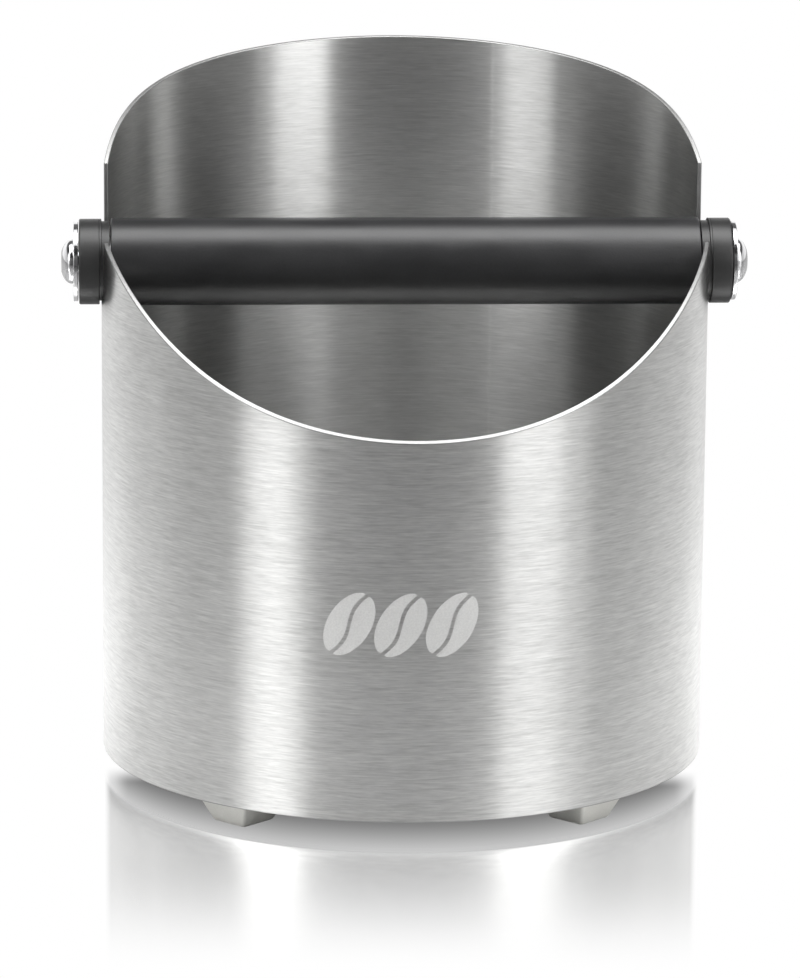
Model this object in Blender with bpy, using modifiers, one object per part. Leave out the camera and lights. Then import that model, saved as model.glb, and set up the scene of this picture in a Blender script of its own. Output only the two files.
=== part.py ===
"""Espresso knock box: brushed steel cylinder with a sloping rim, a lift-out knock bar and four rubber feet.

Frame: origin on the table under the middle of the floor, +X along the knock bar, -Y to the low front rim, +Z up.
All lengths are in metres.
"""

import math

import bmesh
import bpy
from mathutils import Matrix

# Vessel: a rolled steel wall with a sloping rim
VESSEL_RADIUS = 0.070
WALL = 0.0010
WALL_BOTTOM = 0.0060
WALL_STEPS = 176
EDGE_ROUND = 0.00025

# Rim heights above the table, from the low front to the high back
RIM_FRONT = 0.0927
RIM_FRONT_LIP = 0.1265
RIM_BACK_LIP = 0.1417
RIM_BACK = 0.1627
FRONT_BULGE = 0.57
BACK_LINEAR_SHARE = 0.55

# Knock bar seat: open-topped U slots on both sides
BAR_HEIGHT = 0.1204
SLOT_HALF_WIDTH = 0.0093
SLOT_ARC_STEPS = 14

# Floor disc
FLOOR_THICKNESS = 0.0012
FLOOR_RECESS = 0.0004
FLOOR_STEPS = 96
FIT_GAP = 0.0003

# Knock bar, measured outwards from its middle along X
CORE_RADIUS = 0.0050
CORE_HALF_LENGTH = 0.0752
TAPPED_RADIUS = 0.0031
TAPPED_DEPTH = 0.0170
SLEEVE_RADIUS = 0.01005
SLEEVE_HALF_LENGTH = 0.0678
BUSH_START = SLEEVE_HALF_LENGTH + FIT_GAP
COLLAR_START = 0.0704
COLLAR_END = 0.0751
COLLAR_RADIUS = 0.00985
NECK_RADIUS = 0.0090
BUSH_BORE_RADIUS = 0.00507
WASHER_START = 0.0753
WASHER_THICKNESS = 0.00105
WASHER_RADIUS = 0.00915
WASHER_HOLE_RADIUS = 0.0032
HEAD_START = WASHER_START + WASHER_THICKNESS + 0.0001
HEAD_HEIGHT = 0.0027
HEAD_RADIUS = 0.0051
HEAD_FLAT_RADIUS = 0.0024
SOCKET_RADIUS = 0.0020
SOCKET_DEPTH = 0.0015
SHANK_RADIUS = 0.0029
SHANK_LENGTH = 0.0160
ROUND_STEPS = 48

# Feet: square bumpers, wide at the top, set corner-on to the front
FOOT_X = 0.0382
FOOT_Y = 0.0459
FOOT_TOP_SIDE = 0.0150
FOOT_BOTTOM_SIDE = 0.0096
FOOT_HEIGHT = 0.0061
FOOT_CORNER_ROUND = 0.0007
FOOT_SOLE_ROUND = 0.0003

SIDES = {"left": -1.0, "right": 1.0}


def clear_scene():
    """Start from an empty scene."""
    for obj in list(bpy.data.objects):
        bpy.data.objects.remove(obj, do_unlink=True)


def make_collection(name):
    """A collection linked to the scene."""
    collection = bpy.data.collections.new(name)
    bpy.context.scene.collection.children.link(collection)
    return collection


def make_material(name, colour, roughness, metallic):
    """A Principled material."""
    material = bpy.data.materials.new(name)
    material.use_nodes = True
    shader = material.node_tree.nodes["Principled BSDF"]
    shader.inputs["Base Color"].default_value = (*colour, 1.0)
    shader.inputs["Roughness"].default_value = roughness
    shader.inputs["Metallic"].default_value = metallic
    material.diffuse_color = (*colour, 1.0)
    return material


def object_from(bm, name, collection):
    """Turn a bmesh into a named object with outward normals."""
    bmesh.ops.recalc_face_normals(bm, faces=bm.faces)
    mesh = bpy.data.meshes.new(name)
    bm.to_mesh(mesh)
    bm.free()
    obj = bpy.data.objects.new(name, mesh)
    collection.objects.link(obj)
    return obj


def shade_smooth(obj, angle_deg=35.0):
    """Smooth shading with crisp corners."""
    obj.data.shade_smooth()
    obj.data.set_sharp_from_angle(angle=math.radians(angle_deg))


def revolve(name, profile, steps, collection, closed=True):
    """Spin a profile of (radius, height) points about Z into a solid."""
    bm = bmesh.new()
    verts = [bm.verts.new((radius, 0.0, height)) for radius, height in profile]
    edges = [bm.edges.new(pair) for pair in zip(verts, verts[1:])]
    if closed:
        edges.append(bm.edges.new((verts[-1], verts[0])))
    bmesh.ops.spin(
        bm, geom=verts + edges, cent=(0.0, 0.0, 0.0), axis=(0.0, 0.0, 1.0), angle=math.tau, steps=steps, use_merge=True
    )
    bmesh.ops.remove_doubles(bm, verts=bm.verts, dist=1e-6)
    return object_from(bm, name, collection)


def add_bevel(obj, width, segments, angle_deg):
    """Round every edge sharper than the given angle."""
    bevel = obj.modifiers.new("edge_round", "BEVEL")
    bevel.width = width
    bevel.segments = segments
    bevel.limit_method = "ANGLE"
    bevel.angle_limit = math.radians(angle_deg)
    bevel.use_clamp_overlap = False
    bevel.harden_normals = False
    return bevel


def cut(obj, cutter):
    """Take the cutter's volume out of the object."""
    boolean = obj.modifiers.new("cut_" + cutter.name, "BOOLEAN")
    boolean.operation = "DIFFERENCE"
    boolean.solver = "EXACT"
    boolean.object = cutter


def rim_height(y):
    """Height of the rim above a point at depth y: it climbs from the low front, then flattens towards the back."""
    reach = VESSEL_RADIUS - SLOT_HALF_WIDTH
    if y <= -SLOT_HALF_WIDTH:
        u = (y + VESSEL_RADIUS) / reach
        return RIM_FRONT + (RIM_FRONT_LIP - RIM_FRONT) * (u + FRONT_BULGE * u * u * (1.0 - u))
    if y >= SLOT_HALF_WIDTH:
        v = (VESSEL_RADIUS - y) / reach
        drop = BACK_LINEAR_SHARE * v + (1.0 - BACK_LINEAR_SHARE) * v**3
        return RIM_BACK - (RIM_BACK - RIM_BACK_LIP) * drop
    across = (y + SLOT_HALF_WIDTH) / (2.0 * SLOT_HALF_WIDTH)
    return RIM_FRONT_LIP + (RIM_BACK_LIP - RIM_FRONT_LIP) * across


def slot_cutter(collection):
    """A U-shaped bar along X: it opens both bar slots at once."""
    outline = [(-SLOT_HALF_WIDTH, RIM_BACK + 0.02)]
    for step in range(SLOT_ARC_STEPS + 1):
        angle = math.pi + math.pi * step / SLOT_ARC_STEPS
        outline.append((SLOT_HALF_WIDTH * math.cos(angle), BAR_HEIGHT + SLOT_HALF_WIDTH * math.sin(angle)))
    outline.append((SLOT_HALF_WIDTH, RIM_BACK + 0.02))
    reach = VESSEL_RADIUS + 0.02
    bm = bmesh.new()
    face = bm.faces.new([bm.verts.new((-reach, y, z)) for y, z in outline])
    extruded = bmesh.ops.extrude_face_region(bm, geom=[face])
    moved = [item for item in extruded["geom"] if isinstance(item, bmesh.types.BMVert)]
    bmesh.ops.translate(bm, vec=(2.0 * reach, 0.0, 0.0), verts=moved)
    cutter = object_from(bm, "slot_cutter", collection)
    cutter.display_type = "WIRE"
    cutter.hide_render = True
    return cutter


def build_vessel(collection, cutters, material):
    """The wall: a spun tube whose top follows the rim curve, with a U slot on each side."""
    inner = VESSEL_RADIUS - WALL
    top = 1.0
    profile = [(VESSEL_RADIUS, top), (VESSEL_RADIUS, WALL_BOTTOM), (inner, WALL_BOTTOM), (inner, top)]
    wall = revolve("vessel_shell", profile, WALL_STEPS, collection)
    wall.data.transform(Matrix.Rotation(math.pi / WALL_STEPS, 4, "Z"))
    for vertex in wall.data.vertices:
        if vertex.co.z > 0.5 * top:
            vertex.co.z = rim_height(vertex.co.y)
    cut(wall, slot_cutter(cutters))
    add_bevel(wall, EDGE_ROUND, 2, 50.0)
    wall.data.materials.append(material)
    shade_smooth(wall)
    return wall


def build_floor(collection, material):
    """The floor disc, just inside the lower edge of the wall."""
    radius = VESSEL_RADIUS - WALL - FIT_GAP
    low = WALL_BOTTOM + FLOOR_RECESS
    profile = [(0.0, FLOOR_THICKNESS), (radius, FLOOR_THICKNESS), (radius, 0.0), (0.0, 0.0)]
    floor = revolve("base_plate", profile, FLOOR_STEPS, collection, closed=False)
    floor.location = (0.0, 0.0, low)
    floor.data.materials.append(material)
    shade_smooth(floor)
    return floor


def lay_along_x(obj, side, axle):
    """Turn a piece spun about Z so its height runs outwards along X, and hang it on the bar's axle."""
    obj.rotation_euler = (0.0, side * math.pi / 2.0, 0.0)
    obj.parent = axle


def arc(centre_r, centre_h, radius, start_deg, end_deg, steps):
    """Points of a circular arc in a (radius, height) profile, angles from the radial direction."""
    points = []
    for step in range(steps + 1):
        angle = math.radians(start_deg + (end_deg - start_deg) * step / steps)
        points.append((centre_r + radius * math.cos(angle), centre_h + radius * math.sin(angle)))
    return points


def build_core(collection, material, axle):
    """The steel rod, with a blind tapped hole in each end."""
    half = CORE_HALF_LENGTH
    hole = half - TAPPED_DEPTH
    edge = 0.0004
    profile = [
        (0.0, hole),
        (TAPPED_RADIUS, hole),
        (TAPPED_RADIUS, half),
        (CORE_RADIUS - edge, half),
        (CORE_RADIUS, half - edge),
    ]
    profile += [(radius, -height) for radius, height in reversed(profile)]
    core = revolve("bar_core", profile, ROUND_STEPS, collection, closed=False)
    lay_along_x(core, 1.0, axle)
    core.data.materials.append(material)
    shade_smooth(core)
    return core


def build_sleeve(collection, material, axle):
    """The rubber tube around the core, with softened ends."""
    half = SLEEVE_HALF_LENGTH
    soft = 0.0004
    end = arc(SLEEVE_RADIUS - soft, half - soft, soft, 90.0, 0.0, 3)
    profile = [(CORE_RADIUS + FIT_GAP, half)] + end
    profile += [(radius, -height) for radius, height in reversed(profile)]
    sleeve = revolve("bar_sleeve", profile, ROUND_STEPS, collection)
    lay_along_x(sleeve, 1.0, axle)
    sleeve.data.materials.append(material)
    shade_smooth(sleeve)
    return sleeve


def build_bush(side_name, collection, material, carrier):
    """A grooved end piece: its neck lies in the slot, its collar stays outside the wall."""
    soft = 0.0005
    inner_soft = 0.0002
    profile = [(BUSH_BORE_RADIUS, BUSH_START), (NECK_RADIUS, BUSH_START), (NECK_RADIUS, COLLAR_START)]
    profile += arc(COLLAR_RADIUS - inner_soft, COLLAR_START + inner_soft, inner_soft, -90.0, 0.0, 2)
    profile += arc(COLLAR_RADIUS - soft, COLLAR_END - soft, soft, 0.0, 90.0, 3)
    profile += [(BUSH_BORE_RADIUS, COLLAR_END)]
    bush = revolve("end_bush_" + side_name, profile, ROUND_STEPS, collection)
    lay_along_x(bush, SIDES[side_name], carrier)
    bush.data.materials.append(material)
    shade_smooth(bush)
    return bush


def build_washer(side_name, collection, material, axle):
    """A wide punched washer with rounded rims."""
    soft = 0.0003
    low = WASHER_START
    high = WASHER_START + WASHER_THICKNESS
    profile = [(WASHER_HOLE_RADIUS, low)]
    profile += arc(WASHER_RADIUS - soft, low + soft, soft, -90.0, 0.0, 2)
    profile += arc(WASHER_RADIUS - soft, high - soft, soft, 0.0, 90.0, 2)
    profile += [(WASHER_HOLE_RADIUS, high)]
    washer = revolve("washer_" + side_name, profile, ROUND_STEPS, collection)
    lay_along_x(washer, SIDES[side_name], axle)
    washer.data.materials.append(material)
    shade_smooth(washer)
    return washer


def head_dome():
    """The button head's outline, from its underside edge over the dome to the flat around the socket."""
    rise = HEAD_HEIGHT - 0.0004
    points = [(HEAD_RADIUS, HEAD_START), (HEAD_RADIUS, HEAD_START + 0.0004)]
    for step in range(1, 8):
        angle = 0.5 * math.pi * step / 7.0
        radius = HEAD_FLAT_RADIUS + (HEAD_RADIUS - HEAD_FLAT_RADIUS) * math.cos(angle)
        points.append((radius, HEAD_START + 0.0004 + rise * math.sin(angle)))
    return points


def socket_cutter(side_name, collection, axle):
    """A hexagonal prism with a drilled cone at its bottom."""
    high = HEAD_START + HEAD_HEIGHT
    profile = [(0.0, high + 0.001), (SOCKET_RADIUS, high + 0.001), (SOCKET_RADIUS, high - SOCKET_DEPTH)]
    profile += [(0.0, high - SOCKET_DEPTH - 0.0004)]
    cutter = revolve("socket_cutter_" + side_name, profile, 6, collection, closed=False)
    lay_along_x(cutter, SIDES[side_name], axle)
    cutter.display_type = "WIRE"
    cutter.hide_render = True
    return cutter


def build_screw(side_name, collection, cutters, material, axle):
    """A button-head screw: domed head with a hexagon socket, plain shank for the threaded part."""
    tip = HEAD_START - SHANK_LENGTH
    profile = [(0.0, tip), (SHANK_RADIUS - 0.0004, tip), (SHANK_RADIUS, tip + 0.0004), (SHANK_RADIUS, HEAD_START)]
    profile += head_dome() + [(0.0, HEAD_START + HEAD_HEIGHT)]
    screw = revolve("screw_" + side_name, profile, ROUND_STEPS, collection, closed=False)
    lay_along_x(screw, SIDES[side_name], axle)
    cut(screw, socket_cutter(side_name, cutters, axle))
    screw.data.materials.append(material)
    shade_smooth(screw)
    return screw


def build_foot(name, x, y, collection, material):
    """A square bumper that narrows towards the table, its diagonal pointing at the front."""
    bm = bmesh.new()
    corners = []
    for side, z in ((FOOT_BOTTOM_SIDE, 0.0), (FOOT_TOP_SIDE, FOOT_HEIGHT)):
        reach = side / math.sqrt(2.0)
        corners.append([bm.verts.new((reach * dx, reach * dy, z)) for dx, dy in ((1, 0), (0, 1), (-1, 0), (0, -1))])
    bottom, top = corners
    bm.faces.new(bottom)
    bm.faces.new(top)
    for index in range(4):
        after = (index + 1) % 4
        bm.faces.new((bottom[index], bottom[after], top[after], top[index]))
    upright = [edge for edge in bm.edges if abs(edge.verts[0].co.z - edge.verts[1].co.z) > 0.5 * FOOT_HEIGHT]
    bmesh.ops.bevel(bm, geom=upright, offset=FOOT_CORNER_ROUND, segments=4, profile=0.5, affect="EDGES")
    sole = [edge for edge in bm.edges if max(vert.co.z for vert in edge.verts) < 1e-6]
    bmesh.ops.bevel(bm, geom=sole, offset=FOOT_SOLE_ROUND, segments=2, profile=0.5, affect="EDGES")
    foot = object_from(bm, name, collection)
    foot.location = (x, y, 0.0)
    foot.data.materials.append(material)
    shade_smooth(foot)
    return foot


def make_empty(name, location, parent=None):
    """An empty that marks a moving group's axis."""
    empty = bpy.data.objects.new(name, None)
    bpy.context.scene.collection.objects.link(empty)
    empty.location = location
    empty.parent = parent
    return empty


def build():
    """The whole knock box."""
    clear_scene()
    parts = make_collection("knock_box")
    cutters = make_collection("knock_box_cutters")
    steel = make_material("brushed_steel", (0.60, 0.60, 0.59), 0.30, 1.0)
    core_steel = make_material("core_steel", (0.55, 0.55, 0.56), 0.35, 1.0)
    chrome = make_material("chrome", (0.80, 0.80, 0.81), 0.08, 1.0)
    black_rubber = make_material("black_rubber", (0.020, 0.020, 0.021), 0.45, 0.0)
    foot_rubber = make_material("foot_rubber", (0.72, 0.715, 0.68), 0.60, 0.0)
    build_vessel(parts, cutters, steel)
    build_floor(parts, steel)
    carrier = make_empty("bar_lift_axis", (0.0, 0.0, BAR_HEIGHT))
    axle = make_empty("bar_turn_axis", (0.0, 0.0, 0.0), carrier)
    build_core(parts, core_steel, axle)
    build_sleeve(parts, black_rubber, axle)
    for side_name in SIDES:
        build_bush(side_name, parts, black_rubber, carrier)
        build_washer(side_name, parts, chrome, axle)
        build_screw(side_name, parts, cutters, chrome, axle)
    for depth_name, y in (("front", -FOOT_Y), ("back", FOOT_Y)):
        for side_name, side in SIDES.items():
            build_foot("foot_" + depth_name + "_" + side_name, side * FOOT_X, y, parts, foot_rubber)


build()
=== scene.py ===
"""The looks of the knock box: a brushed steel vessel with a black rubber knock bar.

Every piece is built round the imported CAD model, in metres, with +Z up and the knock bar along X.
"""

import math

import bmesh
import bpy
from mathutils import Matrix, Vector


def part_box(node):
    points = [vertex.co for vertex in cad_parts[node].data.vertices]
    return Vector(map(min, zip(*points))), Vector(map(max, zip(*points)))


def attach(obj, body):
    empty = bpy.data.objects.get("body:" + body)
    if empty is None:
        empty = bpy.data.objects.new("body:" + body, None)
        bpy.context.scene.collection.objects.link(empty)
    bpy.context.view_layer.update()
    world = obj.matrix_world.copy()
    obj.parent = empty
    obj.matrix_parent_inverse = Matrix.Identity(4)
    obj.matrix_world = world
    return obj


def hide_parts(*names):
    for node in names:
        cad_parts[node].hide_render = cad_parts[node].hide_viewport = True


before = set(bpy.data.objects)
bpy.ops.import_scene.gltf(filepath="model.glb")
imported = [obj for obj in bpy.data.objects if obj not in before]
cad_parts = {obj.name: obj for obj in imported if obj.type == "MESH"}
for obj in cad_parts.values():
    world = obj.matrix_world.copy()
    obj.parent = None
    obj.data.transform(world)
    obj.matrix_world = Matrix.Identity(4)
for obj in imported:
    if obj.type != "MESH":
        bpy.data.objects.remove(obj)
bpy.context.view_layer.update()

# ---------------------------------------------------------------- sizes, in metres

SHELL_LOW, SHELL_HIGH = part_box("vessel_shell")
SLEEVE_LOW, SLEEVE_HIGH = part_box("bar_sleeve")
BASE_LOW, BASE_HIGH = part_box("base_plate")

WALL_RADIUS = (SHELL_HIGH.x - SHELL_LOW.x) / 2
WALL = 0.0010
WALL_BOTTOM = SHELL_LOW.z
RIM_BACK = SHELL_HIGH.z
RIM_FRONT = 0.0927
RIM_FRONT_LIP = 0.1265
RIM_BACK_LIP = 0.1417
FRONT_BULGE = 0.57
BACK_LINEAR_SHARE = 0.55
EDGE_BREAK = 0.00024
BASE_EDGE_BREAK = 0.00025

BAR_HEIGHT = (SLEEVE_LOW.z + SLEEVE_HIGH.z) / 2
BAR_RADIUS = (SLEEVE_HIGH.z - SLEEVE_LOW.z) / 2
SLOT_HALF_WIDTH = 0.0093

RIM_STEPS = 260
SLOT_STEPS = 28
LOWER_ROWS = 8
UPPER_ROWS = 3
BASE_RINGS = 24
TURN_STEPS = 96
EDGE_SEGMENTS = 3
SHARP_EDGE = 50.0
TURNED_SHARP_EDGE = 38.0

# ---------------------------------------------------------------- node helpers


class Nodes:
    """Short calls for building one node tree."""

    NOISE_LOW = 0.3
    NOISE_HIGH = 0.7

    def __init__(self, tree):
        self.tree = tree

    def add(self, kind, inputs=None, **settings):
        """A node of that kind; inputs may be values or other nodes' outputs."""
        node = self.tree.nodes.new(kind)
        for name, value in settings.items():
            setattr(node, name, value)
        for name, value in (inputs or {}).items():
            self.feed(node.inputs[name], value)
        return node

    def feed(self, socket, value):
        if isinstance(value, bpy.types.NodeSocket):
            self.tree.links.new(value, socket)
        else:
            socket.default_value = value

    def math(self, operation, *values):
        node = self.add("ShaderNodeMath", operation=operation)
        for i, value in enumerate(values):
            self.feed(node.inputs[i], value)
        return node.outputs[0]

    def remap(self, value, low, high, to_low, to_high, smooth=False):
        node = self.add(
            "ShaderNodeMapRange",
            {"Value": value, "From Min": low, "From Max": high, "To Min": to_low, "To Max": to_high},
        )
        if smooth:
            node.interpolation_type = "SMOOTHSTEP"
        return node.outputs["Result"]

    def vary(self, noise, low, high):
        """Spreads the middle of a noise from low to high."""
        return self.remap(noise, self.NOISE_LOW, self.NOISE_HIGH, low, high)

    def noise(self, scale, detail=3.0, roughness=0.55, turn=(0.0, 0.0, 0.0)):
        """Noise on object coordinates, with its own scale along each axis."""
        place = self.add("ShaderNodeTexCoord")
        stretch = self.add(
            "ShaderNodeMapping",
            {"Vector": place.outputs["Object"], "Scale": scale, "Rotation": turn},
        )
        grain = self.add(
            "ShaderNodeTexNoise",
            {"Vector": stretch.outputs[0], "Scale": 1.0, "Detail": detail, "Roughness": roughness},
        )
        return grain.outputs["Fac"]

    def tint(self, colour, factor):
        """The colour with its brightness multiplied by factor."""
        node = self.add("ShaderNodeVectorMath", {0: colour}, operation="SCALE")
        self.feed(node.inputs["Scale"], factor)
        return node.outputs[0]


def new_material(name):
    """An empty material with a Principled shader: (material, node calls, shader)."""
    material = bpy.data.materials.new(name)
    material.use_nodes = True
    material.node_tree.nodes.clear()
    nodes = Nodes(material.node_tree)
    shader = nodes.add("ShaderNodeBsdfPrincipled")
    output = nodes.add("ShaderNodeOutputMaterial")
    nodes.feed(output.inputs["Surface"], shader.outputs[0])
    return material, nodes, shader


# ---------------------------------------------------------------- materials

STEEL = (0.62, 0.62, 0.612)
BRUSH_LENGTH = 0.0060
BRUSH_WIDTH = 0.00032
LONG_BRUSH_LENGTH = 0.018
LONG_BRUSH_WIDTH = 0.0009
BRUSH_TILT = math.radians(1.6)
CROSS_BRUSH = (1.3, 1.3, 0.8)  # scale of the scratches that fall, against those that rise
COARSE_SHARE = 0.2
SEAM_ANGLE = math.radians(20.5)
SEAM_HALF_WIDTH = 0.0007
SEAM_WANDER = 0.0002
SEAM_BRIGHTNESS = 1.06
SEAM_ROUGHNESS = 0.05
GRAIN_RANGE = (0.36, 0.64)
SCRATCH_DEPTH = 0.00002
OUTSIDE_TONE = ((0.0, 1.04),)  # (height, brightness) pairs, from the bottom up
# painted shade low on the inside of the wall and painted light just above the bar, as (height,
# brightness) pairs
INSIDE_PAINTED_LIGHT = ((0.060, 0.82), (0.125, 1.04), (0.155, 0.93))
RIM_STEEL = (0.36, 0.36, 0.357)
FROSTED_STEEL = (0.80, 0.80, 0.79)
# facing values over which the painted edge-on shade of bright steel comes in
PAINTED_EDGE_SHADE_RANGE = (0.45, 0.85)
SHINE_RANGE = (0.28, 0.62)
SHINE_HEAD_ON = 0.5
SHINE_GLANCING = 0.14
QUARTER_TURN = 0.25


def brushed_steel(name, roughness, stretch, contrast, bump_strength, tone=((0.0, 1.0),), seam=False):
    """Steel with scratches running round the vessel, which draw its highlights out upwards.

    tone lists (height, brightness) pairs, from the bottom up; where they change with height, they paint
    light and shade on the steel.
    """
    material, nodes, shader = new_material(name)
    rising = (1 / BRUSH_LENGTH, 1 / BRUSH_LENGTH, 1 / BRUSH_WIDTH)
    falling = tuple(scale * cross for scale, cross in zip(rising, CROSS_BRUSH))
    fine_up = nodes.noise(rising, detail=3.0, roughness=0.62, turn=(0.0, BRUSH_TILT, 0.0))
    fine_down = nodes.noise(falling, detail=3.0, roughness=0.62, turn=(0.0, -BRUSH_TILT, 0.0))
    long = (1 / LONG_BRUSH_LENGTH, 1 / LONG_BRUSH_LENGTH, 1 / LONG_BRUSH_WIDTH)
    coarse = nodes.noise(long, detail=2.0, roughness=0.5)
    cloud = nodes.noise((30.0, 30.0, 45.0), detail=2.0, roughness=0.5)
    fine = nodes.math("MULTIPLY", nodes.math("ADD", fine_up, fine_down), 0.5)
    fine_part = nodes.math("MULTIPLY", fine, 1.0 - COARSE_SHARE)
    grain = nodes.math("MULTIPLY_ADD", coarse, COARSE_SHARE, fine_part)
    shade = nodes.remap(grain, *GRAIN_RANGE, 1.0 - contrast, 1.0 + contrast)
    haze = nodes.vary(cloud, 0.975, 1.025)
    bright = nodes.math("MULTIPLY", nodes.math("MULTIPLY", shade, haze), tone_at_height(nodes, tone))
    rough = nodes.remap(grain, *GRAIN_RANGE, roughness - 0.02, roughness + 0.02)
    if seam:
        line = weld_line(nodes)
        bright = nodes.math("MULTIPLY", bright, nodes.remap(line, 0.0, 1.0, 1.0, SEAM_BRIGHTNESS))
        rough = nodes.math("ADD", rough, nodes.math("MULTIPLY", line, SEAM_ROUGHNESS))
    nodes.feed(shader.inputs["Base Color"], nodes.tint(STEEL, bright))
    nodes.feed(shader.inputs["Roughness"], rough)
    shader.inputs["Metallic"].default_value = 1.0
    shader.inputs["Anisotropic"].default_value = stretch
    shader.inputs["Anisotropic Rotation"].default_value = QUARTER_TURN
    tangent = nodes.add("ShaderNodeTangent", direction_type="RADIAL", axis="Z")
    nodes.feed(shader.inputs["Tangent"], tangent.outputs[0])
    relief = {"Strength": bump_strength, "Distance": SCRATCH_DEPTH, "Height": fine}
    bump = nodes.add("ShaderNodeBump", relief)
    nodes.feed(shader.inputs["Normal"], bump.outputs[0])
    return material


def tone_at_height(nodes, tone):
    """Brightness that follows the (height, brightness) pairs up the piece, painted light and shade where
    it changes.
    """
    place = nodes.add("ShaderNodeTexCoord").outputs["Object"]
    height = nodes.add("ShaderNodeSeparateXYZ", {"Vector": place}).outputs["Z"]
    bright = tone[0][1]
    for (low, below), (high, above) in zip(tone, tone[1:]):
        change = nodes.remap(height, low, high, 0.0, above - below, smooth=True)
        bright = nodes.math("ADD", bright, change)
    return bright


def weld_line(nodes):
    """1 on the ground-down weld that closes the wall at its back, broken up along its length."""
    place = nodes.add("ShaderNodeTexCoord")
    across = nodes.add(
        "ShaderNodeVectorMath",
        {0: place.outputs["Object"], 1: (math.cos(SEAM_ANGLE), -math.sin(SEAM_ANGLE), 0.0)},
        operation="DOT_PRODUCT",
    )
    along = nodes.add(
        "ShaderNodeVectorMath",
        {0: place.outputs["Object"], 1: (math.sin(SEAM_ANGLE), math.cos(SEAM_ANGLE), 0.0)},
        operation="DOT_PRODUCT",
    )
    wander = nodes.vary(nodes.noise((90.0, 90.0, 200.0)), -SEAM_WANDER, SEAM_WANDER)
    offset = nodes.math("ABSOLUTE", nodes.math("ADD", across.outputs["Value"], wander))
    line = nodes.remap(offset, 0.0, SEAM_HALF_WIDTH, 1.0, 0.0, smooth=True)
    back_half = nodes.math("GREATER_THAN", along.outputs["Value"], 0.0)
    speckle = nodes.remap(nodes.noise((1400.0, 1400.0, 700.0)), 0.4, 0.6, 0.1, 1.0)
    return nodes.math("MULTIPLY", nodes.math("MULTIPLY", line, back_half), speckle)


def polished_rim():
    """The cut edge of the sheet, ground and polished bright."""
    material, nodes, shader = new_material("rim_polish")
    marks = nodes.noise((500.0, 500.0, 500.0), detail=3.0, roughness=0.6)
    nodes.feed(shader.inputs["Base Color"], nodes.tint(RIM_STEEL, nodes.vary(marks, 0.95, 1.03)))
    nodes.feed(shader.inputs["Roughness"], nodes.vary(marks, 0.38, 0.46))
    shader.inputs["Metallic"].default_value = 1.0
    return material


def etched_steel():
    """Steel blasted to a fine even frost."""
    material, nodes, shader = new_material("etched_frost")
    frost = nodes.noise((2600.0, 2600.0, 2600.0), detail=2.0, roughness=0.6)
    nodes.feed(shader.inputs["Base Color"], nodes.tint(FROSTED_STEEL, nodes.vary(frost, 0.94, 1.05)))
    nodes.feed(shader.inputs["Roughness"], nodes.vary(frost, 0.55, 0.62))
    shader.inputs["Metallic"].default_value = 1.0
    return material


def bright_steel(name, colour, roughness, painted_edge_shade=1.0):
    """Turned and polished steel with faint handling marks, and a painted shade: the last argument is its
    brightness where it is seen edge-on.
    """
    material, nodes, shader = new_material(name)
    marks = nodes.noise((900.0, 320.0, 320.0), detail=4.0, roughness=0.6)
    # painted shade: the colour darkens to the last argument's brightness where the steel is seen edge-on
    facing = nodes.add("ShaderNodeLayerWeight", {"Blend": 0.5}).outputs["Facing"]
    tone = nodes.math(
        "MULTIPLY",
        nodes.vary(marks, 0.96, 1.03),
        nodes.remap(facing, *PAINTED_EDGE_SHADE_RANGE, 1.0, painted_edge_shade, smooth=True),
    )
    nodes.feed(shader.inputs["Base Color"], nodes.tint(colour, tone))
    nodes.feed(shader.inputs["Roughness"], nodes.vary(marks, roughness * 0.7, roughness * 1.4))
    shader.inputs["Metallic"].default_value = 1.0
    bump = nodes.add("ShaderNodeBump", {"Strength": 0.10, "Distance": SCRATCH_DEPTH, "Height": marks})
    nodes.feed(shader.inputs["Normal"], bump.outputs[0])
    return material


def moulded_rubber(name, colour, roughness, grain_size, bump_depth, mottle):
    """Satin moulded rubber: a fine pebble, and soft clouds that are brighter and duller by mottle."""
    material, nodes, shader = new_material(name)
    pebble = nodes.noise((1 / grain_size,) * 3, detail=2.0, roughness=0.5)
    cloud = nodes.noise((70.0, 110.0, 110.0), detail=4.0, roughness=0.6)
    speckle = nodes.vary(pebble, 1.0 - 0.7 * mottle, 1.0 + 0.7 * mottle)
    tone = nodes.math("MULTIPLY", speckle, nodes.vary(cloud, 1.0 - mottle, 1.0 + mottle))
    nodes.feed(shader.inputs["Base Color"], nodes.tint(colour, tone))
    nodes.feed(shader.inputs["Roughness"], nodes.vary(cloud, roughness - 0.05, roughness + 0.05))
    facing = nodes.add("ShaderNodeLayerWeight", {"Blend": 0.5}).outputs["Facing"]
    shine = nodes.remap(facing, *SHINE_RANGE, SHINE_HEAD_ON, SHINE_GLANCING, smooth=True)
    nodes.feed(shader.inputs["Specular IOR Level"], shine)
    bump = nodes.add("ShaderNodeBump", {"Strength": 0.5, "Distance": bump_depth, "Height": pebble})
    nodes.feed(shader.inputs["Normal"], bump.outputs[0])
    return material


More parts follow.
